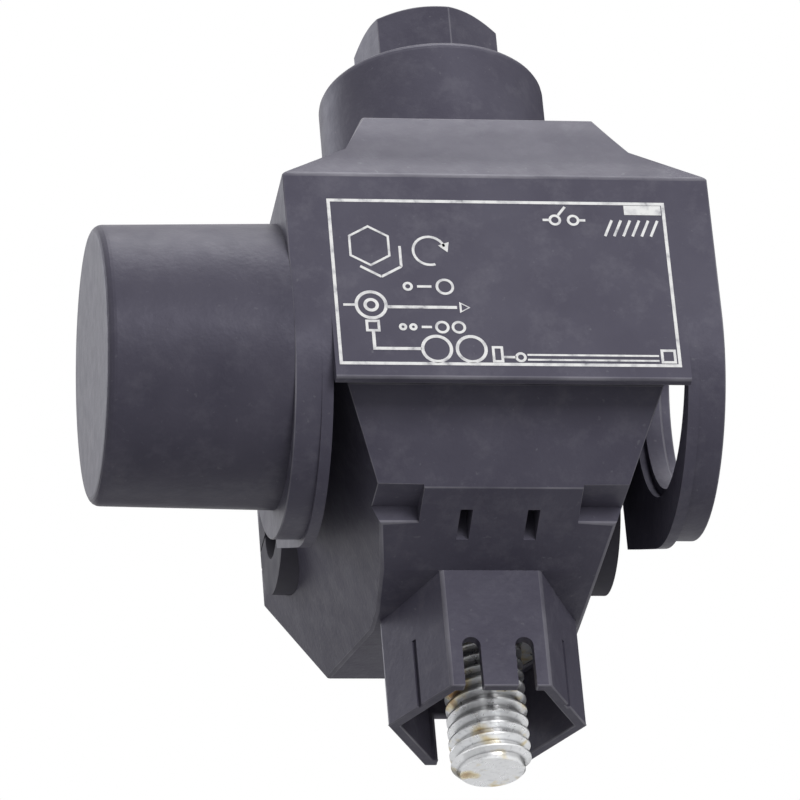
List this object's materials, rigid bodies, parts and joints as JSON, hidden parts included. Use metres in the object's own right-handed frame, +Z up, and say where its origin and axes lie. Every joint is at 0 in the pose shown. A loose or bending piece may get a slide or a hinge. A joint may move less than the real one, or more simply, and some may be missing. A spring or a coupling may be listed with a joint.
{
  "type": "insulation piercing connector",
  "caption": "Black moulded cable tap connector: two jaws on a shear-head bolt, label plate, round tap holes in end flanges, a plug-in end cap and a hexagonal nut tower.",
  "frame": {"origin": "middle of the line conductor's axis, between the closed seals", "axes": "+X along the line conductor, -Y to the label plate, +Z up the bolt to the hex head"},
  "size_m": [0.0596, 0.0559, 0.0844],
  "materials": {
    "body_plastic": "satin moulded glass-filled plastic",
    "cap_plastic": "satin moulded plastic",
    "seal_rubber": "soft matte",
    "zinc_steel": "zinc plated",
    "contact_metal": "tinned"
  },
  "bodies": {
    "upper": {"upper_body": "body_plastic", "upper_blade_left": "contact_metal", "upper_blade_right": "contact_metal", "upper_main_seal": "seal_rubber", "thrust_washer": "zinc_steel"},
    "bolt": {"clamp_bolt": "zinc_steel", "head_collar": "body_plastic", "shear_hex": "body_plastic", "head_seal_ring": "seal_rubber"},
    "jaw": {"lower_jaw": "body_plastic", "lower_blade_left": "contact_metal", "lower_blade_right": "contact_metal", "lower_main_seal": "seal_rubber", "hex_nut": "zinc_steel", "nut_washer": "zinc_steel"},
    "cap": {"end_cap": "cap_plastic"}
  },
  "joints": [
    {"name": "bolt_turn", "type": "hinge", "parent": "upper", "child": "bolt", "pos_m": [0, -0.015, 0], "axis": [0, 0, 1], "range_deg": [0, 3744]},
    {"name": "jaw_slide", "type": "slide", "parent": "upper", "child": "jaw", "axis": [0, 0, -1], "range_m": [0, 0.013]},
    {"name": "cap_pull", "type": "slide", "parent": "upper", "child": "cap", "axis": [-1, 0, 0], "range_m": [0, 0.02]}
  ],
  "couplings": [
    {"joint": "bolt_turn", "follows": "jaw_slide", "rad_per_m": 5026.5}
  ]
}
